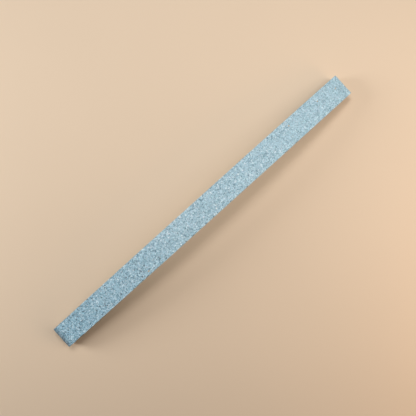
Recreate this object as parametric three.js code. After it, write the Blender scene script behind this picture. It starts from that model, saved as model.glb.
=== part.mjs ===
// A double-sided foam-core sanding stick for model making.
//
// Thirteen layers are glued face to face: a springy plastic core in the middle and, on each side of
// it, adhesive, foam, adhesive, backing paper, resin and grit. The stick has taken a set, so it is
// bowed: it stands on its two ends and its middle is clear of the table.
//
// Millimetres. +X runs along the stick, +Z is up. The origin is under the middle, on the table.

import * as THREE from 'three';

// Outline of the stick.
const LENGTH = 177.8; // measured along the bowed stick
const WIDTH = 11;

// The bow: a short straight stretch at mid-length, then an arc towards each end.
const STRAIGHT_LENGTH = 20;
const BOW_RADIUS = 390; // of the middle of the core

// Thickness of each layer.
const CORE_THICKNESS = 1;
const CORE_ADHESIVE_THICKNESS = 0.1;
const FOAM_THICKNESS = 1.2;
const SHEET_ADHESIVE_THICKNESS = 0.1;
const BACKING_THICKNESS = 0.25;
const BOND_COAT_THICKNESS = 0.1;
const GRIT_COAT_THICKNESS = 0.25;

// The upper foam is crushed where the cutter came down on the -X end.
const CRUSH_DEPTH = 0.6;
const CRUSH_LENGTH = 2.4;

// Cross-sections along each arc, and along the crushed end.
const ARC_STEPS = 12;
const CRUSH_STEPS = 4;

// Colours.
const CORE_WHITE = 0xeceae2;
const ADHESIVE_AMBER = 0xd9c48f;
const FOAM_CHARCOAL = 0x4c5156;
const PAPER_TAN = 0xb48a58;
const RESIN_SLATE = 0x6f8794;
const GRIT_BLUE_GREY = 0x9fb8c2;

// Layers on one side of the core, from the core outwards.
const SIDE_LAYERS = [
  { name: 'core_adhesive', thickness: CORE_ADHESIVE_THICKNESS, finish: adhesiveFinish },
  { name: 'foam', thickness: FOAM_THICKNESS, finish: foamFinish },
  { name: 'sheet_adhesive', thickness: SHEET_ADHESIVE_THICKNESS, finish: adhesiveFinish },
  { name: 'backing', thickness: BACKING_THICKNESS, finish: backingFinish },
  { name: 'bond_coat', thickness: BOND_COAT_THICKNESS, finish: bondCoatFinish },
  { name: 'grit_coat', thickness: GRIT_COAT_THICKNESS, finish: gritCoatFinish },
];

function plainFinish(color, roughness) {
  return new THREE.MeshStandardMaterial({ color, roughness, metalness: 0 });
}

function coreFinish() {
  return plainFinish(CORE_WHITE, 0.45);
}

function adhesiveFinish() {
  return plainFinish(ADHESIVE_AMBER, 0.3);
}

function foamFinish() {
  return plainFinish(FOAM_CHARCOAL, 0.95);
}

function backingFinish() {
  return plainFinish(PAPER_TAN, 0.9);
}

function bondCoatFinish() {
  return plainFinish(RESIN_SLATE, 0.6);
}

function gritCoatFinish() {
  return plainFinish(GRIT_BLUE_GREY, 0.85);
}

// Distances along the stick from its middle at which every layer has a cross-section.
function crossSectionPlaces() {
  const end = LENGTH / 2;
  const arcStart = STRAIGHT_LENGTH / 2;
  const crushStart = end - CRUSH_LENGTH;
  const places = [];
  for (let step = 0; step < CRUSH_STEPS; step += 1) {
    places.push(-end + (CRUSH_LENGTH * step) / CRUSH_STEPS);
  }
  for (let step = 0; step <= ARC_STEPS; step += 1) {
    places.push(-crushStart + ((crushStart - arcStart) * step) / ARC_STEPS);
  }
  for (let step = 0; step <= ARC_STEPS; step += 1) {
    places.push(arcStart + ((end - arcStart) * step) / ARC_STEPS);
  }
  return places;
}

// How far the upper foam is pressed down at a place along the stick.
function crushAt(place) {
  const fromEnd = (place + LENGTH / 2) / CRUSH_LENGTH;
  return fromEnd < 1 ? CRUSH_DEPTH * (1 - fromEnd) ** 2 : 0;
}

// The point at a place along the stick and a height above the middle of the core.
function bowedPoint(place, height) {
  const side = Math.sign(place);
  const arcLength = Math.max(0, Math.abs(place) - STRAIGHT_LENGTH / 2);
  const turn = arcLength / BOW_RADIUS;
  const straight = Math.min(Math.abs(place), STRAIGHT_LENGTH / 2);
  return {
    x: side * (straight + (BOW_RADIUS + height) * Math.sin(turn)),
    z: (BOW_RADIUS + height) * Math.cos(turn) - BOW_RADIUS,
  };
}

// Height of the face of a layer, lowered where the foam under it is crushed.
function faceHeight(place, height, isCrushed) {
  return isCrushed ? height - crushAt(place) : height;
}

// One layer: a box with a cross-section at each place, bent to the bow.
function layerGeometry(places, bottom, top) {
  const segments = places.length - 1;
  const geometry = new THREE.BoxGeometry(segments, WIDTH, 2, segments, 1, 1);
  const position = geometry.attributes.position;
  for (let index = 0; index < position.count; index += 1) {
    const place = places[Math.round(position.getX(index) + segments / 2)];
    const face = position.getZ(index) > 0 ? top : bottom;
    const point = bowedPoint(place, faceHeight(place, face.height, face.isCrushed));
    position.setX(index, point.x);
    position.setZ(index, point.z);
  }
  geometry.computeVertexNormals();
  return geometry;
}

function layerMesh(name, places, bottom, top, finish) {
  const mesh = new THREE.Mesh(layerGeometry(places, bottom, top), finish());
  mesh.name = name;
  return mesh;
}

// The upper layers, from the core upwards. All faces from the top of the foam on follow its crush.
function addUpperLayers(stick, places) {
  let bottom = { height: CORE_THICKNESS / 2, isCrushed: false };
  for (const layer of SIDE_LAYERS) {
    const isCrushed = bottom.isCrushed || layer.name === 'foam';
    const top = { height: bottom.height + layer.thickness, isCrushed };
    stick.add(layerMesh(`upper_${layer.name}`, places, bottom, top, layer.finish));
    bottom = top;
  }
}

// The lower layers, from the core downwards. Returns the height of the lowest face.
function addLowerLayers(stick, places) {
  let top = { height: -CORE_THICKNESS / 2, isCrushed: false };
  for (const layer of SIDE_LAYERS) {
    const bottom = { height: top.height - layer.thickness, isCrushed: false };
    stick.add(layerMesh(`lower_${layer.name}`, places, bottom, top, layer.finish));
    top = bottom;
  }
  return top.height;
}

function buildSandingStick() {
  const stick = new THREE.Group();
  const places = crossSectionPlaces();
  const coreBottom = { height: -CORE_THICKNESS / 2, isCrushed: false };
  const coreTop = { height: CORE_THICKNESS / 2, isCrushed: false };
  stick.add(layerMesh('core_strip', places, coreBottom, coreTop, coreFinish));
  addUpperLayers(stick, places);
  const lowestFace = addLowerLayers(stick, places);
  stick.position.z = -bowedPoint(LENGTH / 2, lowestFace).z;
  return stick;
}

export default buildSandingStick();
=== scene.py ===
"""Visual model of a double-sided foam-core sanding stick.

Thirteen layers are glued face to face and bowed: a white plastic core and, on each side of it,
adhesive, foam, adhesive, backing paper, resin and grit. Metres, in the frame of the CAD.
"""
import math

import bpy
import numpy as np
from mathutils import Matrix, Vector


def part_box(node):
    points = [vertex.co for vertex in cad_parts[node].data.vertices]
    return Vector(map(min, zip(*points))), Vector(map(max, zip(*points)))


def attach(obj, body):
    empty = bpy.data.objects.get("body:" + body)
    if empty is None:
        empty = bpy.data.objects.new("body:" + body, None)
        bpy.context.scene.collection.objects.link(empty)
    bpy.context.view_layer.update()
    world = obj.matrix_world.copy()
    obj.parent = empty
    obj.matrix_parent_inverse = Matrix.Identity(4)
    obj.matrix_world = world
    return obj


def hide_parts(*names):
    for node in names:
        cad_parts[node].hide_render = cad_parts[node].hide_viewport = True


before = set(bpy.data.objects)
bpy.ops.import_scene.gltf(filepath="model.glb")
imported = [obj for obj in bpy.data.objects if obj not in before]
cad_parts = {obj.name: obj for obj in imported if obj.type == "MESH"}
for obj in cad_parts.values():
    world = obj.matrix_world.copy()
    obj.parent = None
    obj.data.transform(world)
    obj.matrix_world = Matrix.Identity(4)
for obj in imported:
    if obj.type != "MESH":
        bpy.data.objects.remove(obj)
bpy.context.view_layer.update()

MM = 0.001

# Outline and bow of the stick.
LENGTH = 177.8 * MM
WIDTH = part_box("core_strip")[1][1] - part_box("core_strip")[0][1]
STRAIGHT_LENGTH = 20 * MM
BOW_RADIUS = 390 * MM

# Thickness of the core, and of the layers on each side of it from the core outwards.
CORE_THICKNESS = 1 * MM
CORE_ADHESIVE = 0.1 * MM
FOAM = 1.2 * MM
SHEET_ADHESIVE = 0.1 * MM
BACKING = 0.25 * MM
BOND_COAT = 0.1 * MM
GRIT_COAT = 0.25 * MM
SIDE_THICKNESS = CORE_ADHESIVE + FOAM + SHEET_ADHESIVE + BACKING + BOND_COAT + GRIT_COAT
HALF_THICKNESS = CORE_THICKNESS / 2 + SIDE_THICKNESS

# The upper foam is crushed where the cutter came down on the -X end.
CRUSH_DEPTH = 0.6 * MM
CRUSH_LENGTH = 2.4 * MM

# Spacing of the mesh, and its rows up the walls of the core, the foam and the grit.
EDGE_STEP = 0.25 * MM
GRIT_STEP = 0.15 * MM
CORE_ROWS = 6
FOAM_ROWS = 8
GRIT_ROWS = 2


# ---------------------------------------------------------------- shape of the bow

def crush_at(place):
    """How far the upper layers are pressed down at a place along the stick."""
    from_end = np.clip((place + LENGTH / 2) / CRUSH_LENGTH, 0, 1)
    return CRUSH_DEPTH * (1 - from_end) ** 2


def bowed(place, height):
    """x and z of a place along the stick and a height above the middle of the core, before lifting."""
    side = np.sign(place)
    turn = np.maximum(0, np.abs(place) - STRAIGHT_LENGTH / 2) / BOW_RADIUS
    straight = np.minimum(np.abs(place), STRAIGHT_LENGTH / 2)
    x = side * (straight + (BOW_RADIUS + height) * np.sin(turn))
    z = (BOW_RADIUS + height) * np.cos(turn) - BOW_RADIUS
    return x, z


# Lifts the stick until its two ends stand on the floor.
LIFT = -float(bowed(np.array(LENGTH / 2), np.array(-HALF_THICKNESS))[1])


def bend(points):
    """Bends (place, y, height) rows into the frame's x, y, z."""
    x, z = bowed(points[:, 0], points[:, 2])
    return np.stack([x, points[:, 1], z + LIFT], axis=1)


def spaced(length, step):
    """Evenly spaced distances from the middle, end to end, about one step apart."""
    return np.linspace(-length / 2, length / 2, int(round(length / step)) + 1)


# ---------------------------------------------------------------- closed layers

def rim(places, columns):
    """The outline of a layer, anticlockwise from the -X, -Y corner: place, y and outward direction."""
    n, m = len(places), len(columns)
    place = np.concatenate([places, np.full(m - 2, places[-1]), places[::-1], np.full(m - 2, places[0])])
    y = np.concatenate([np.full(n, columns[0]), columns[1:-1], np.full(n, columns[-1]), columns[-2:0:-1]])
    out_x = np.concatenate([np.zeros(n), np.ones(m - 2), np.zeros(n), -np.ones(m - 2)])
    out_y = np.concatenate([-np.ones(n), np.zeros(m - 2), np.ones(n), np.zeros(m - 2)])
    for corner, sign in ((0, -1), (n - 1, 1), (n + m - 2, 1), (2 * n + m - 3, -1)):
        out_x[corner] = sign
    return place, y, out_x, out_y


def border_of(grid):
    """The border of a grid in the order of the rim."""
    return np.concatenate([grid[:, 0], grid[-1, 1:-1], grid[::-1, -1], grid[0, -2:0:-1]])


def rim_indices(n, m, base):
    """Vertex index of each rim point as an n by m border, counted from base."""
    table = np.full((n, m), -1)
    table[:, 0] = base + np.arange(n)
    table[n - 1, 1:m - 1] = base + n + np.arange(m - 2)
    table[::-1, m - 1] = base + n + m - 2 + np.arange(n)
    table[0, m - 2:0:-1] = base + 2 * n + m - 2 + np.arange(m - 2)
    return table


def rim_rings(places, columns, bottom, top, rows, wall, grids):
    """Rings of rim points, from the bottom face to the top face."""
    place, y, out_x, out_y = rim(places, columns)
    stand = wall(rows + 1, len(place))
    rings = []
    for row in range(rows + 1):
        share = row / rows
        height = bottom(place) * (1 - share) + top(place) * share
        for face, at_row in (("bottom", 0), ("top", rows)):
            if face in grids and row == at_row:
                height = border_of(grids[face])
        rings.append(np.stack([place + out_x * stand[row], y + out_y * stand[row], height], axis=1))
    return rings


def wall_faces(count, rows):
    """Faces between the rings, each of count points."""
    step = np.arange(count)
    faces = []
    for row in range(rows):
        a, b = row * count + step, row * count + (step + 1) % count
        faces += np.stack([a, b, b + count, a + count], axis=1).tolist()
    return faces


def strip_cap(table, upward):
    """Faces of a hidden cap: one across the layer for each step along it."""
    n, m = table.shape
    faces = []
    for i in range(n - 1):
        near = list(table[i, :]) if i == 0 else [table[i, 0], table[i, m - 1]]
        far = list(table[i + 1, :]) if i == n - 2 else [table[i + 1, 0], table[i + 1, m - 1]]
        loop = [int(v) for v in far + near[::-1]]
        faces.append(loop if upward else loop[::-1])
    return faces


def grid_cap(table, upward):
    """Faces of a visible cap: a full grid."""
    a, b = table[:-1, :-1].ravel(), table[1:, :-1].ravel()
    c, d = table[1:, 1:].ravel(), table[:-1, 1:].ravel()
    quads = np.stack([a, b, c, d] if upward else [d, c, b, a], axis=1)
    return quads.tolist()


def inner_points(places, columns, grid):
    """Points of a visible cap inside its rim."""
    x, y = np.meshgrid(places[1:-1], columns[1:-1], indexing="ij")
    return np.stack([x.ravel(), y.ravel(), grid[1:-1, 1:-1].ravel()], axis=1)


def face_values(grid, rows, before):
    """A grid's values for a layer's faces: the wall's from its border, then the visible cap's.

    before is the number of faces made before the visible cap; those that aren't wall get 0.
    """
    values = np.zeros(before)
    around = np.tile(border_of(grid), rows)
    values[:len(around)] = around
    return np.concatenate([values, grid[:-1, :-1].ravel()])


def mesh_piece(name, points, faces, values):
    """A bent piece. values maps an attribute's name to values for the first faces; the rest get 0."""
    mesh = bpy.data.meshes.new(name)
    mesh.from_pydata(bend(points).tolist(), [], faces)
    for key, value in values.items():
        whole = np.zeros(len(faces), dtype=np.float32)
        whole[:len(value)] = value
        mesh.attributes.new(key, "FLOAT", "FACE").data.foreach_set("value", whole)
    mesh.update()
    piece = bpy.data.objects.new(name, mesh)
    bpy.context.scene.collection.objects.link(piece)
    return piece


def make_layer(name, step, bottom, top, rows, wall, grids=None, attributes=None):
    """A closed layer.

    bottom and top are functions of place that give the height of each face. wall(rows, count) gives how
    far each of count rim points stands out in each row. grids maps "top" or "bottom" to a grid of heights
    for a visible face, and attributes maps a name to a grid of values for that face.
    """
    grids = grids or {}
    places, columns = spaced(LENGTH, step), spaced(WIDTH, step)
    n, m = len(places), len(columns)
    points = rim_rings(places, columns, bottom, top, rows, wall, grids)
    count = len(points[0])
    faces = wall_faces(count, rows)
    values = {}
    for face, row in (("bottom", 0), ("top", rows)):
        table = rim_indices(n, m, row * count)
        if face in grids:
            inner = inner_points(places, columns, grids[face])
            table[1:-1, 1:-1] = sum(map(len, points)) + np.arange(len(inner)).reshape(n - 2, m - 2)
            points.append(inner)
            values = {key: face_values(grid, rows, len(faces)) for key, grid in attributes.items()}
            faces += grid_cap(table, face == "top")
        else:
            faces += strip_cap(table, face == "top")
    return mesh_piece(name, np.concatenate(points), faces, values)


# ---------------------------------------------------------------- node helpers

# Ranges of values: the whole range, and the middle of what a noise texture gives.
FULL = (0.0, 1.0)
MIDDLE = (0.35, 0.65)
WIDE_MIDDLE = (0.3, 0.7)


def new_material(name):
    """A material, its node tree and its shader."""
    material = bpy.data.materials.new(name)
    material.use_nodes = True
    tree = material.node_tree
    return material, tree, tree.nodes["Principled BSDF"]


def texture(tree, kind, scale, **inputs):
    """A texture in object coordinates; scale is features per metre."""
    place = tree.nodes.new("ShaderNodeTexCoord")
    node = tree.nodes.new(kind)
    node.inputs["Scale"].default_value = scale
    for key, value in inputs.items():
        node.inputs[key].default_value = value
    tree.links.new(place.outputs["Object"], node.inputs["Vector"])
    return node


def noise(tree, scale, **inputs):
    return texture(tree, "ShaderNodeTexNoise", scale, **inputs).outputs["Fac"]


def voronoi(tree, scale, output):
    return texture(tree, "ShaderNodeTexVoronoi", scale).outputs[output]


def attribute(tree, name):
    node = tree.nodes.new("ShaderNodeAttribute")
    node.attribute_name = name
    return node.outputs["Fac"]


def ramp(tree, source, stops):
    """A colour ramp from (position, colour) stops."""
    node = tree.nodes.new("ShaderNodeValToRGB")
    element = node.color_ramp.elements
    while len(element) < len(stops):
        element.new(0.5)
    for slot, (position, color) in zip(element, stops):
        slot.position = position
        slot.color = (*color, 1)
    tree.links.new(source, node.inputs["Fac"])
    return node.outputs["Color"]


def levels(tree, source, from_range, to_range):
    """source with from_range stretched to to_range, and held at its ends."""
    node = tree.nodes.new("ShaderNodeMapRange")
    for key, value in zip(("From Min", "From Max", "To Min", "To Max"), (*from_range, *to_range)):
        node.inputs[key].default_value = value
    tree.links.new(source, node.inputs["Value"])
    return node.outputs["Result"]


def mixed(tree, factor, first, second, blend="MIX"):
    """first where factor is 0 and second where it is 1; each may be a value or a socket."""
    node = tree.nodes.new("ShaderNodeMix")
    node.data_type = "RGBA"
    node.blend_type = blend
    for value, socket in ((factor, node.inputs[0]), (first, node.inputs[6]), (second, node.inputs[7])):
        if isinstance(value, bpy.types.NodeSocket):
            tree.links.new(value, socket)
        elif isinstance(value, tuple):
            socket.default_value = (*value, 1)
        else:
            socket.default_value = value
    return node.outputs[2]


def multiplied(tree, first, second):
    return mixed(tree, 1.0, first, second, "MULTIPLY")


def add_bump(tree, shader, source, distance, strength):
    node = tree.nodes.new("ShaderNodeBump")
    node.inputs["Distance"].default_value = distance
    node.inputs["Strength"].default_value = strength
    tree.links.new(source, node.inputs["Height"])
    tree.links.new(node.outputs["Normal"], shader.inputs["Normal"])


def set_surface(shader, **inputs):
    """Sets the shader's own sockets; an underscore stands for a space in a socket's name."""
    for key, value in inputs.items():
        shader.inputs[key.replace("_", " ")].default_value = value


# ---------------------------------------------------------------- grit material

GRAIN_TONES = [
    (0.00, (0.15, 0.17, 0.20)),
    (0.04, (0.16, 0.27, 0.33)),
    (0.18, (0.31, 0.46, 0.54)),
    (0.40, (0.44, 0.62, 0.70)),
    (0.62, (0.52, 0.71, 0.79)),
    (0.82, (0.66, 0.83, 0.89)),
    (1.00, (0.90, 0.96, 0.98)),
]
GRAIN_TINTS = [(0.2, (0.93, 1.0, 1.0)), (0.8, (1.0, 0.965, 0.99))]
PATCH_SHADE = (0.95, 0.97, 0.98)
FLECK_SHADE = (0.72, 0.74, 0.76)
# Painted shade: grains darkened and turned bluer towards the -X end.
END_SHADE_TINT = (0.76, 0.87, 0.92)
RESIN_COLOR = (0.10, 0.145, 0.175)
PAPER_COLOR = (0.56, 0.40, 0.22)
# Features per metre.
PATCHES = 160
TINTS = 2900
FLECKS = 5200
GLINTS = 2600
GRAIN_RELIEF = 6500
# Ranges of the textures, and of the strength or roughness they are turned into.
FLECK_RANGE, FLECK_STRENGTH = (0.25, 0.6), (0.0, 0.55)
GLINT_RANGE, GLINT_ROUGHNESS = (0.7, 0.85), (0.85, 0.35)


def grit_material():
    """Blue-grey grains of several tones in slate resin, with tan paper where grains are missing, and
    painted shade darkening the grains towards the -X end.
    """
    material, tree, shader = new_material("blue_grey_grit")
    tone = ramp(tree, attribute(tree, "tone"), GRAIN_TONES)
    patches = levels(tree, noise(tree, PATCHES, Detail=3.0), WIDE_MIDDLE, FULL)
    tone = mixed(tree, patches, tone, multiplied(tree, tone, PATCH_SHADE))
    tone = multiplied(tree, tone, ramp(tree, voronoi(tree, TINTS, "Color"), GRAIN_TINTS))
    flecks = levels(tree, voronoi(tree, FLECKS, "Distance"), FLECK_RANGE, FLECK_STRENGTH)
    tone = mixed(tree, flecks, tone, multiplied(tree, tone, FLECK_SHADE))
    # Painted shade: darkens the grains towards the -X end.
    tone = mixed(tree, attribute(tree, "painted_end_shade"), tone, multiplied(tree, tone, END_SHADE_TINT))
    color = mixed(tree, attribute(tree, "resin"), tone, RESIN_COLOR)
    color = mixed(tree, attribute(tree, "bare"), color, PAPER_COLOR)
    tree.links.new(color, shader.inputs["Base Color"])
    glints = levels(tree, voronoi(tree, GLINTS, "Color"), GLINT_RANGE, GLINT_ROUGHNESS)
    tree.links.new(glints, shader.inputs["Roughness"])
    set_surface(shader, Specular_IOR_Level=0.45)
    add_bump(tree, shader, voronoi(tree, GRAIN_RELIEF, "Distance"), distance=0.05 * MM, strength=0.7)
    return material


# ---------------------------------------------------------------- materials of the cut edges

FOAM_CELLS = 4600
FOAM_CELL_SMOOTHNESS = 0.4
FOAM_CELL_RANGE = (0.15, 0.75)
FOAM_PATCHES = 700
FOAM_PATCH_RANGE, FOAM_PATCH_STRENGTH = (0.35, 0.7), (0.0, 0.5)
# Painted shade: the hollows of the cells are darker than their walls.
FOAM_HOLLOW_SHADE = (0.028, 0.031, 0.035)
FOAM_WALL = (0.105, 0.115, 0.125)
FOAM_PALE = (0.15, 0.16, 0.17)


def foam_material():
    """Charcoal foam, cut through its fine cells, with painted shade in the cells' hollows."""
    material, tree, shader = new_material("charcoal_foam")
    cells = texture(tree, "ShaderNodeTexVoronoi", FOAM_CELLS)
    cells.feature = "SMOOTH_F1"
    cells.inputs["Smoothness"].default_value = FOAM_CELL_SMOOTHNESS
    distance = cells.outputs["Distance"]
    patches = levels(tree, noise(tree, FOAM_PATCHES, Detail=4.0), FOAM_PATCH_RANGE, FOAM_PATCH_STRENGTH)
    # Painted shade in the cells' hollows, where the bump makes pits.
    color = mixed(tree, levels(tree, distance, FOAM_CELL_RANGE, FULL), FOAM_HOLLOW_SHADE, FOAM_WALL)
    tree.links.new(mixed(tree, patches, color, FOAM_PALE), shader.inputs["Base Color"])
    set_surface(shader, Roughness=0.93, Specular_IOR_Level=0.25)
    add_bump(tree, shader, distance, distance=0.12 * MM, strength=0.9)
    return material


CORE_STREAKS = 900
CORE_DUST = 2600
CORE_DUST_RANGE, CORE_DUST_STRENGTH = (0.58, 0.72), (0.0, 0.55)
CORE_ROUGHNESS = (0.38, 0.6)
CORE_WHITE = (0.86, 0.88, 0.88)
CORE_STREAK = (0.78, 0.80, 0.80)
GREY_DUST = (0.36, 0.42, 0.45)


def core_material():
    """White plastic sheet, sheared, with faint streaks and grey dust from the grit."""
    material, tree, shader = new_material("white_core_plastic")
    streak = noise(tree, CORE_STREAKS, Detail=4.0)
    dust = noise(tree, CORE_DUST, Detail=5.0)
    color = mixed(tree, levels(tree, streak, WIDE_MIDDLE, FULL), CORE_WHITE, CORE_STREAK)
    color = mixed(tree, levels(tree, dust, CORE_DUST_RANGE, CORE_DUST_STRENGTH), color, GREY_DUST)
    tree.links.new(color, shader.inputs["Base Color"])
    tree.links.new(levels(tree, streak, WIDE_MIDDLE, CORE_ROUGHNESS), shader.inputs["Roughness"])
    add_bump(tree, shader, dust, distance=0.03 * MM, strength=0.5)
    return material


ADHESIVE_DUST = 1800
DUSTY_RANGE = (0.42, 0.66)
ROUGH_RANGE, ADHESIVE_ROUGHNESS = (0.4, 0.66), (0.3, 0.75)
AMBER = (0.60, 0.47, 0.25)
DUSTY_AMBER = (0.26, 0.25, 0.22)


def adhesive_material():
    """Clear amber film, with dust stuck to its cut edge."""
    material, tree, shader = new_material("amber_adhesive")
    dust = noise(tree, ADHESIVE_DUST, Detail=5.0)
    color = mixed(tree, levels(tree, dust, DUSTY_RANGE, FULL), AMBER, DUSTY_AMBER)
    tree.links.new(color, shader.inputs["Base Color"])
    tree.links.new(levels(tree, dust, ROUGH_RANGE, ADHESIVE_ROUGHNESS), shader.inputs["Roughness"])
    add_bump(tree, shader, dust, distance=0.03 * MM, strength=0.6)
    return material


PAPER_FIBRES = 3200
PAPER_PATCHES = 300
PAPER_PATCH_STRENGTH = (0.0, 0.35)
PAPER_DARK = (0.50, 0.33, 0.165)
PAPER_LIGHT = (0.70, 0.53, 0.33)
PAPER_STAIN = (0.34, 0.24, 0.15)


def backing_material():
    """Tan latex-treated paper, fibrous at the cut."""
    material, tree, shader = new_material("tan_backing_paper")
    fibre = noise(tree, PAPER_FIBRES, Detail=6.0, Roughness=0.7)
    patches = levels(tree, noise(tree, PAPER_PATCHES, Detail=2.0), MIDDLE, PAPER_PATCH_STRENGTH)
    color = mixed(tree, levels(tree, fibre, MIDDLE, FULL), PAPER_DARK, PAPER_LIGHT)
    tree.links.new(mixed(tree, patches, color, PAPER_STAIN), shader.inputs["Base Color"])
    set_surface(shader, Roughness=0.9, Specular_IOR_Level=0.3)
    add_bump(tree, shader, fibre, distance=0.05 * MM, strength=0.8)
    return material


RESIN_BLOTS = 1500
RESIN_ROUGHNESS = (0.45, 0.8)
RESIN_DARK = (0.13, 0.19, 0.225)
RESIN_LIGHT = (0.25, 0.33, 0.37)


def resin_material():
    """Dull slate resin, uneven where it soaked into the paper."""
    material, tree, shader = new_material("slate_resin")
    blot = noise(tree, RESIN_BLOTS, Detail=4.0)
    color = mixed(tree, levels(tree, blot, MIDDLE, FULL), RESIN_DARK, RESIN_LIGHT)
    tree.links.new(color, shader.inputs["Base Color"])
    tree.links.new(levels(tree, blot, MIDDLE, RESIN_ROUGHNESS), shader.inputs["Roughness"])
    add_bump(tree, shader, blot, distance=0.04 * MM, strength=0.7)
    return material


# ---------------------------------------------------------------- cut edges

# Smoothing passes of each wall's noise, up the wall and along it.
LUMP_PASSES = (2, 4)
PIT_PASSES = (1, 1)
RIPPLE_PASSES = (2, 3)


def soft_noise(rng, shape, passes):
    """Random values from -1 to 1 or so, smoothed with a number of three-point passes on each axis."""
    field = rng.normal(size=shape)
    for axis, count in enumerate(passes):
        for _ in range(count):
            field = (np.roll(field, 1, axis) + 2 * field + np.roll(field, -1, axis)) / 4
    return field / (np.abs(field).max() + 1e-12)


def jagged_wall(seed, low, high, grain, along=2):
    """A wall whose points stand out by noise between low and high.

    grain is the share of the noise that changes at every point. The rest is smoothed, along the edge with
    a number of passes, and up the wall if it has more than one row of faces.
    """
    def wall(rows, count):
        rng = np.random.default_rng(seed)
        field = soft_noise(rng, (rows, count), (1 if rows > 2 else 0, along))
        spikes = soft_noise(rng, (rows, count), (0, 0))
        return low + (high - low) * (0.5 + 0.5 * (field * (1 - grain) + spikes * grain))
    return wall


FOAM_WAIST = 0.10 * MM
FOAM_WAIST_POWER = 0.8
FOAM_LUMPS = 0.05 * MM
FOAM_PITS = 0.10 * MM
FOAM_PIT_THRESHOLD = 0.25
FOAM_MOST_PROUD = 0.03 * MM


def foam_wall(seed):
    """Foam springs back from the cut: pulled in at mid-thickness, and pitted with open cells."""
    def wall(rows, count):
        rng = np.random.default_rng(seed)
        share = np.linspace(0, 1, rows)[:, None]
        waist = -FOAM_WAIST * np.sin(np.pi * share) ** FOAM_WAIST_POWER
        lumps = soft_noise(rng, (rows, count), LUMP_PASSES) * FOAM_LUMPS
        pits = soft_noise(rng, (rows, count), PIT_PASSES)
        pits = -FOAM_PITS * np.clip(pits - FOAM_PIT_THRESHOLD, 0, 1)
        field = waist + lumps + pits
        field[0], field[-1] = 0, 0
        return np.minimum(field, FOAM_MOST_PROUD)
    return wall


CORE_SEED = 41
CORE_BURR = 0.035 * MM
CORE_BURR_REACH = 0.15  # share of the thickness
CORE_LEAN = 0.03 * MM
CORE_RIPPLE = 0.018 * MM


def core_wall(rows, count):
    """Sheared plastic: leaning in towards the top, with a burr at the lower rim."""
    rng = np.random.default_rng(CORE_SEED)
    share = np.linspace(0, 1, rows)[:, None]
    burr = CORE_BURR * np.exp(-share / CORE_BURR_REACH)
    return burr - CORE_LEAN * share + soft_noise(rng, (rows, count), RIPPLE_PASSES) * CORE_RIPPLE


# ---------------------------------------------------------------- grains

# Grains sit on a thin base, one to each cell of a grid, at random places in their cells.
GRAIN_PITCH = 0.27 * MM
GRAIN_JITTER = 0.45  # of the pitch
GRAIN_SPARE_CELLS = 4  # beyond the edges, along and across
GRAIN_BASE = 0.05 * MM
GRAIN_LOW = 0.05 * MM
GRAIN_HIGH = 0.24 * MM
GRAIN_CAP = 1.15 * GRAIN_HIGH
GRAIN_SIDES = 3
GRAIN_SLOPES = (0.05, 1.25)
# Shapes of the beta distributions of the grains' heights and tones.
HEIGHT_SHAPE = (2.0, 1.8)
TONE_SHAPE = (1.7, 1.6)
# A gap shows resin this close to where two grains meet, and below this height.
GAP_WIDTH = 0.05 * MM
GAP_HEIGHT = 0.16 * MM
GAP_RESIN = 0.8

# How far the grains' tones are spread about the middle tone, at the -X end and at the +X end.
TONE_SPREAD = (1.25, 0.80)
# Painted shade: the grains are darkened and turned bluer towards the -X end, over this share of the
# length.
END_SHADE_SHARE = 0.42
END_SHADE_POWER = 0.8


def random_grains(seed):
    """Place, height, heading, slopes and tone of the grain in each cell."""
    rng = np.random.default_rng(seed)
    shape = tuple(int(size / GRAIN_PITCH) + GRAIN_SPARE_CELLS for size in (LENGTH, WIDTH))
    return {
        "x": rng.uniform(-GRAIN_JITTER, GRAIN_JITTER, shape),
        "y": rng.uniform(-GRAIN_JITTER, GRAIN_JITTER, shape),
        "tall": rng.beta(*HEIGHT_SHAPE, shape),
        "heading": rng.uniform(0, 2 * np.pi, shape),
        "slopes": rng.uniform(*GRAIN_SLOPES, (GRAIN_SIDES, *shape)),
        "tone": rng.beta(*TONE_SHAPE, shape),
    }


def facet_height(grains, x, y, i, j):
    """Height at x, y of the three-sided peak in cell i, j."""
    center_x = (i - 0.5 + grains["x"][i, j]) * GRAIN_PITCH - LENGTH / 2
    center_y = (j - 0.5 + grains["y"][i, j]) * GRAIN_PITCH - WIDTH / 2
    peak = GRAIN_LOW + (GRAIN_HIGH - GRAIN_LOW) * grains["tall"][i, j]
    facet = np.full(x.shape, 1.0)
    for side in range(GRAIN_SIDES):
        angle = grains["heading"][i, j] + 2 * np.pi * side / GRAIN_SIDES
        away = (x - center_x) * np.cos(angle) + (y - center_y) * np.sin(angle)
        facet = np.minimum(facet, peak - grains["slopes"][side][i, j] * away)
    return facet


def grain_field(x, y, seed):
    """Height and tone of tightly packed angular grains, and how deep each gap is.

    The highest grain wins at each point.
    """
    grains = random_grains(seed)
    cell_x = np.floor((x + LENGTH / 2) / GRAIN_PITCH).astype(int) + 1
    cell_y = np.floor((y + WIDTH / 2) / GRAIN_PITCH).astype(int) + 1
    best = np.full(x.shape, -1.0)
    second = np.full(x.shape, -1.0)
    tone = np.zeros(x.shape)
    for step_x in (-1, 0, 1):
        for step_y in (-1, 0, 1):
            i, j = cell_x + step_x, cell_y + step_y
            facet = facet_height(grains, x, y, i, j)
            wins = facet > best
            second = np.where(wins, best, np.maximum(second, facet))
            tone = np.where(wins, grains["tone"][i, j], tone)
            best = np.where(wins, facet, best)
    height = np.clip(best, 0, GRAIN_CAP)
    gap = np.clip(1 - (best - second) / GAP_WIDTH, 0, 1) * np.clip(1 - height / GAP_HEIGHT, 0, 1)
    return height, tone, gap


# ---------------------------------------------------------------- wear, and painted shade at the crushed end

# Where grains have come off the upper face: place, y, half-length and half-width in mm.
BARE_SPOTS = [
    (-35.7, -4.0, 0.62, 0.36),
    (55.3, 2.45, 0.42, 0.34),
    (73.3, 2.07, 0.36, 0.30),
    (84.4, 0.9, 0.40, 0.30),
]
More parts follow.
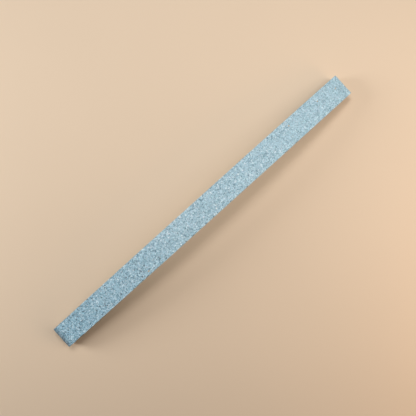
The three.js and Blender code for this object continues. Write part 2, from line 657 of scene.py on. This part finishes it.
# Bare spots of the lower face: how many, how far out they may be, and their half-length and half-width.
LOWER_BARE_SPOTS = 5
LOWER_BARE_REACH = (0.46 * LENGTH, 0.42 * WIDTH)
LOWER_BARE_SIZE = (0.4 * MM, 0.3 * MM)
# Stretches of the -Y edge that have been knocked: from, to in mm, and number of nicks.
KNOCKED = [(-88.0, -70.0, 11), (-42.0, -28.0, 7), (-66.0, 84.0, 12)]
# Half-length and half-width of a nick in mm, as ranges, in those stretches and elsewhere.
KNOCKED_SIZES = ((0.25, 0.7), (0.15, 0.42))
NICK_SIZES = ((0.2, 0.5), (0.12, 0.3))
NICKS = 14
# How sharply a spot's rim falls off.
SPOT_SLOPE = 2.2
# Worn bands at the two ends: a level at the very end, the length over which it falls by 1, and a strength.
# At the crushed -X end the band is wider and darker than the wear alone, as painted shade.
END_RAG = 0.35 * MM
END_RAG_PASSES = (0, 2)
# Wear at the crushed end, widened into painted shade.
CRUSHED_END_WEAR_AND_SHADE = {"level": 1.25, "length": 2.9 * MM, "power": 1.6, "strength": 0.9}
CLEAN_END = {"level": 1, "length": 0.45 * MM, "power": 1, "strength": 0.5}
# Wear takes the darker grains more than the lighter ones: its strength at tone 0, and its fall to tone 1.
WEAR_AT_DARK = 1.45
WEAR_FALL = 0.9
# Share of a grain's height that wear takes away.
WEAR_DEPTH = 0.8


def spot(x, y, at, size):
    """1 inside an ellipse and 0 outside it, with a soft rim."""
    far = np.hypot((x - at[0]) / size[0], (y - at[1]) / size[1])
    return np.clip(SPOT_SLOPE - SPOT_SLOPE * far, 0, 1)


def bare_paper(rng, x, y, is_upper):
    """Spots without grains, from 0 to 1."""
    bare = np.zeros(x.shape)
    if is_upper:
        for place, side, half_length, half_width in BARE_SPOTS:
            size = (half_length * MM, half_width * MM)
            bare = np.maximum(bare, spot(x, y, (place * MM, side * MM), size))
        return bare
    for _ in range(LOWER_BARE_SPOTS):
        at = tuple(rng.uniform(-reach, reach) for reach in LOWER_BARE_REACH)
        bare = np.maximum(bare, spot(x, y, at, LOWER_BARE_SIZE))
    return bare


def nick_size(rng, sizes):
    return tuple(rng.uniform(*size) * MM for size in sizes)


def nicked_edges(rng, x, y):
    """Nicks along both long edges, from 0 to 1."""
    worn = np.zeros(x.shape)
    for low, high, count in KNOCKED:
        for _ in range(count):
            at = (rng.uniform(low, high) * MM, -WIDTH / 2)
            worn = np.maximum(worn, spot(x, y, at, nick_size(rng, KNOCKED_SIZES)))
    for _ in range(NICKS):
        side = rng.choice((-1, 1))
        at = (rng.uniform(-0.5, 0.5) * LENGTH, side * WIDTH / 2)
        worn = np.maximum(worn, spot(x, y, at, nick_size(rng, NICK_SIZES)))
    return worn


def end_band(from_end, level, length, power, strength):
    """A band of resin at a distance from an end, from 0 to 1: wear, and at the crushed end also painted
    shade.
    """
    return np.clip(level - from_end / length, 0, 1) ** power * strength


def wear_and_end_shade(x, y, seed, is_upper):
    """Bare paper, and resin shown by missing grains and, at the crushed end, partly as painted shade, as
    grids from 0 to 1.
    """
    rng = np.random.default_rng(seed)
    bare = bare_paper(rng, x, y, is_upper)
    worn = nicked_edges(rng, x, y)
    rag = soft_noise(rng, (1, x.shape[1]), END_RAG_PASSES)[0] * END_RAG
    # The crushed -X end shows resin as wear and, over a wider band, as painted shade.
    worn = np.maximum(worn, end_band(x + LENGTH / 2 - rag[None, :], **CRUSHED_END_WEAR_AND_SHADE))
    worn = np.maximum(worn, end_band(LENGTH / 2 - x - rag[None, ::-1], **CLEAN_END))
    return bare, worn


# ---------------------------------------------------------------- pieces

def finish_piece(piece, material, node):
    piece.data.materials.append(material)
    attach(piece, "root")
    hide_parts(node)


def face_at(height, side, is_crushed):
    """The height of a face as a function of place. Only faces of the upper side can be crushed."""
    if side > 0 and is_crushed:
        return lambda place: height - crush_at(place)
    return lambda place: np.full_like(place, side * height)


def bottom_and_top(inner, outer, side):
    """The inner and outer face of a layer as its bottom and top."""
    return (inner, outer) if side > 0 else (outer, inner)


def core_piece(material):
    half = CORE_THICKNESS / 2
    piece = make_layer("core_sheet", EDGE_STEP, face_at(half, -1, False), face_at(half, 1, False),
                       CORE_ROWS, core_wall)
    finish_piece(piece, material, "core_strip")


# Seeds of the first layer of each half; each further layer's is one more.
UPPER_SEED = 100
LOWER_SEED = 200

# How the cut edge of each thin layer stands out.
CORE_FILM_EDGE = {"low": -0.05 * MM, "high": 0.05 * MM, "grain": 0.2, "along": 6}
SHEET_FILM_EDGE = {"low": -0.06 * MM, "high": 0.05 * MM, "grain": 0.2, "along": 6}
PAPER_EDGE = {"low": -0.05 * MM, "high": 0.04 * MM, "grain": 0.55}
RESIN_EDGE = {"low": -0.06 * MM, "high": 0.03 * MM, "grain": 0.5}
GRIT_EDGE = {"low": -0.07 * MM, "high": 0.05 * MM, "grain": 0.5}

# Layers between core and grit, from the core outwards: piece, node, slot, thickness, rows, edge, and
# whether the inner and the outer face are pressed down at the crushed end.
SIDE_LAYERS = [
    ("core_film", "core_adhesive", "adhesive", CORE_ADHESIVE, 2, CORE_FILM_EDGE, (False, False)),
    ("foam_cushion", "foam", "foam", FOAM, FOAM_ROWS, None, (False, True)),
    ("sheet_film", "sheet_adhesive", "adhesive", SHEET_ADHESIVE, 2, SHEET_FILM_EDGE, (True, True)),
    ("paper", "backing", "backing_paper", BACKING, 3, PAPER_EDGE, (True, True)),
    ("resin", "bond_coat", "bond_resin", BOND_COAT, 2, RESIN_EDGE, (True, True)),
]


def side_layers(prefix, side, seed, materials):
    """All layers on the upper (side 1) or lower (side -1) half, from the core outwards."""
    inner = CORE_THICKNESS / 2
    for index, (name, node, slot, thickness, rows, edge, crushed) in enumerate(SIDE_LAYERS):
        outer = inner + thickness
        wall = jagged_wall(seed + index, **edge) if edge else foam_wall(seed + index)
        faces = bottom_and_top(face_at(inner, side, crushed[0]), face_at(outer, side, crushed[1]), side)
        piece = make_layer(f"{prefix}_{name}", EDGE_STEP, *faces, rows, wall)
        finish_piece(piece, materials[slot], f"{prefix}_{node}")
        inner = outer
    grit_piece(prefix, side, seed + len(SIDE_LAYERS), materials["abrasive_grit"])


def grit_piece(prefix, side, seed, material):
    """The coat of grains on one side, as one closed sheet with its grains in the mesh."""
    is_upper = side > 0
    x, y = np.meshgrid(spaced(LENGTH, GRIT_STEP), spaced(WIDTH, GRIT_STEP), indexing="ij")
    height, tone, gap = grain_field(x, y, seed)
    bare, worn = wear_and_end_shade(x, y, seed + 1, is_upper)
    worn = np.clip(worn * (WEAR_AT_DARK - WEAR_FALL * tone), 0, 1)
    stand = GRAIN_BASE + height * (1 - WEAR_DEPTH * np.maximum(bare, worn))
    inner = HALF_THICKNESS - GRIT_COAT
    faces = bottom_and_top(face_at(inner, side, True), face_at(inner + GRAIN_BASE, side, True), side)
    if is_upper:
        grids = {"top": inner + stand - crush_at(x)}
    else:
        grids = {"bottom": -inner - np.minimum(stand, GRIT_COAT)}
    along = x / LENGTH + 0.5
    spread = TONE_SPREAD[0] + (TONE_SPREAD[1] - TONE_SPREAD[0]) * along
    attributes = {
        "tone": np.clip(0.5 + (tone - 0.5) * spread, 0, 1),
        # Resin in the gaps, where grains are missing, and as painted shade at the crushed end.
        "resin": np.clip(np.maximum(gap * GAP_RESIN, worn), 0, 1),
        "bare": bare,
        # Painted shade towards the -X end.
        "painted_end_shade": np.clip((END_SHADE_SHARE - along) / END_SHADE_SHARE, 0, 1) ** END_SHADE_POWER,
    }
    wall = jagged_wall(seed + 2, **GRIT_EDGE)
    piece = make_layer(f"{prefix}_grains", GRIT_STEP, *faces, GRIT_ROWS, wall, grids, attributes)
    finish_piece(piece, material, f"{prefix}_grit_coat")


def build_stick():
    materials = {
        "adhesive": adhesive_material(),
        "foam": foam_material(),
        "backing_paper": backing_material(),
        "bond_resin": resin_material(),
        "abrasive_grit": grit_material(),
    }
    core_piece(core_material())
    side_layers("upper", 1, UPPER_SEED, materials)
    side_layers("lower", -1, LOWER_SEED, materials)


# ---------------------------------------------------------------- floor

FLOOR_HALF_WIDTH = 4.0
FLOOR_COLOR = (0.745, 0.575, 0.42)
FLOOR_SHADE = 0.985
FLOOR_CLOUDS = 14  # per metre
# The floor turns from lit to glowing between these distances from the middle, outside the photo's frame.
FLOOR_GLOW_RADII = (0.145, 0.27)
BLACK = (0.0, 0.0, 0.0)


def floor_material():
    """Plain pale warm surface, matt; far from the stick it glows evenly instead of taking the lights."""
    material, tree, shader = new_material("plain_floor")
    clouds = levels(tree, noise(tree, FLOOR_CLOUDS, Detail=2.0), WIDE_MIDDLE, FULL)
    color = mixed(tree, clouds, FLOOR_COLOR, tuple(FLOOR_SHADE * c for c in FLOOR_COLOR))
    place = tree.nodes.new("ShaderNodeTexCoord")
    radius = tree.nodes.new("ShaderNodeVectorMath")
    radius.operation = "LENGTH"
    tree.links.new(place.outputs["Object"], radius.inputs[0])
    glow = levels(tree, radius.outputs["Value"], FLOOR_GLOW_RADII, FULL)
    tree.links.new(mixed(tree, glow, color, BLACK), shader.inputs["Base Color"])
    tree.links.new(mixed(tree, glow, BLACK, FLOOR_COLOR), shader.inputs["Emission Color"])
    set_surface(shader, Emission_Strength=0.9, Roughness=0.85, Specular_IOR_Level=0.2)
    return material


def build_floor():
    half = FLOOR_HALF_WIDTH
    points = [(-half, -half, 0), (half, -half, 0), (half, half, 0), (-half, half, 0)]
    mesh = bpy.data.meshes.new("floor")
    mesh.from_pydata(points, [], [(0, 1, 2, 3)])
    floor = bpy.data.objects.new("floor", mesh)
    floor.data.materials.append(floor_material())
    bpy.context.scene.collection.objects.link(floor)


# ---------------------------------------------------------------- lights and camera

COOL = (0.97, 1.0, 1.02)
NEUTRAL = (1, 0.97, 0.92)
WARM = (1.08, 0.74, 0.46)
# Name, azimuth from +X towards +Y, elevation, distance from the origin, size, power and colour.
LIGHTS = [
    ("key", 60, 60, 0.40, 0.16, 0.74, COOL),
    ("overhead", 350, 60, 0.28, 0.11, 0.165, COOL),
    ("right", 330, 35, 0.28, 0.11, 0.165, NEUTRAL),
    ("behind", 135, 18, 0.40, 0.16, 1.15, COOL),
    ("front", 300, 18, 0.28, 0.11, 0.20, WARM),
]
BACKDROP_COLOR = (0.78, 0.66, 0.53, 1)
# Strength of the backdrop as a light, and as it is seen.
BACKDROP_STRENGTHS = (0.02, 0.9)

CAMERA_LENS = 38.6
CAMERA_SENSOR = 36
CAMERA_PLACE = (0.00319, -0.00066, 0.2131)
CAMERA_TURN = math.radians(-42.03)


def area_light(name, azimuth, elevation, distance, size, power, color):
    """A square light aimed at the origin, and not seen itself."""
    a, e = math.radians(azimuth), math.radians(elevation)
    way = Vector((math.cos(e) * math.cos(a), math.cos(e) * math.sin(a), math.sin(e)))
    data = bpy.data.lights.new(name, "AREA")
    data.shape = "SQUARE"
    data.size = size
    data.energy = power
    data.color = color
    light = bpy.data.objects.new(name, data)
    light.location = way * distance
    light.rotation_mode = "QUATERNION"
    light.rotation_quaternion = (-way).to_track_quat("-Z", "Y")
    light.visible_camera = False
    bpy.context.scene.collection.objects.link(light)


def build_backdrop():
    """Pale to the camera, and nearly dark as a light."""
    world = bpy.data.worlds.new("studio")
    world.use_nodes = True
    tree = world.node_tree
    backdrop = tree.nodes["Background"]
    backdrop.inputs["Color"].default_value = BACKDROP_COLOR
    path = tree.nodes.new("ShaderNodeLightPath")
    strength = levels(tree, path.outputs["Is Camera Ray"], FULL, BACKDROP_STRENGTHS)
    tree.links.new(strength, backdrop.inputs["Strength"])
    bpy.context.scene.world = world


def build_camera():
    """Straight above, with +X running to the upper right of the picture."""
    data = bpy.data.cameras.new("camera")
    data.sensor_width = CAMERA_SENSOR
    data.lens = CAMERA_LENS
    data.clip_start, data.clip_end = 0.01, 20
    camera = bpy.data.objects.new("camera", data)
    camera.location = CAMERA_PLACE
    camera.rotation_euler = (0, 0, CAMERA_TURN)
    bpy.context.scene.collection.objects.link(camera)
    bpy.context.scene.camera = camera


build_stick()
build_floor()
for light in LIGHTS:
    area_light(*light)
build_backdrop()
build_camera()
bpy.context.scene.view_settings.view_transform = "Standard"
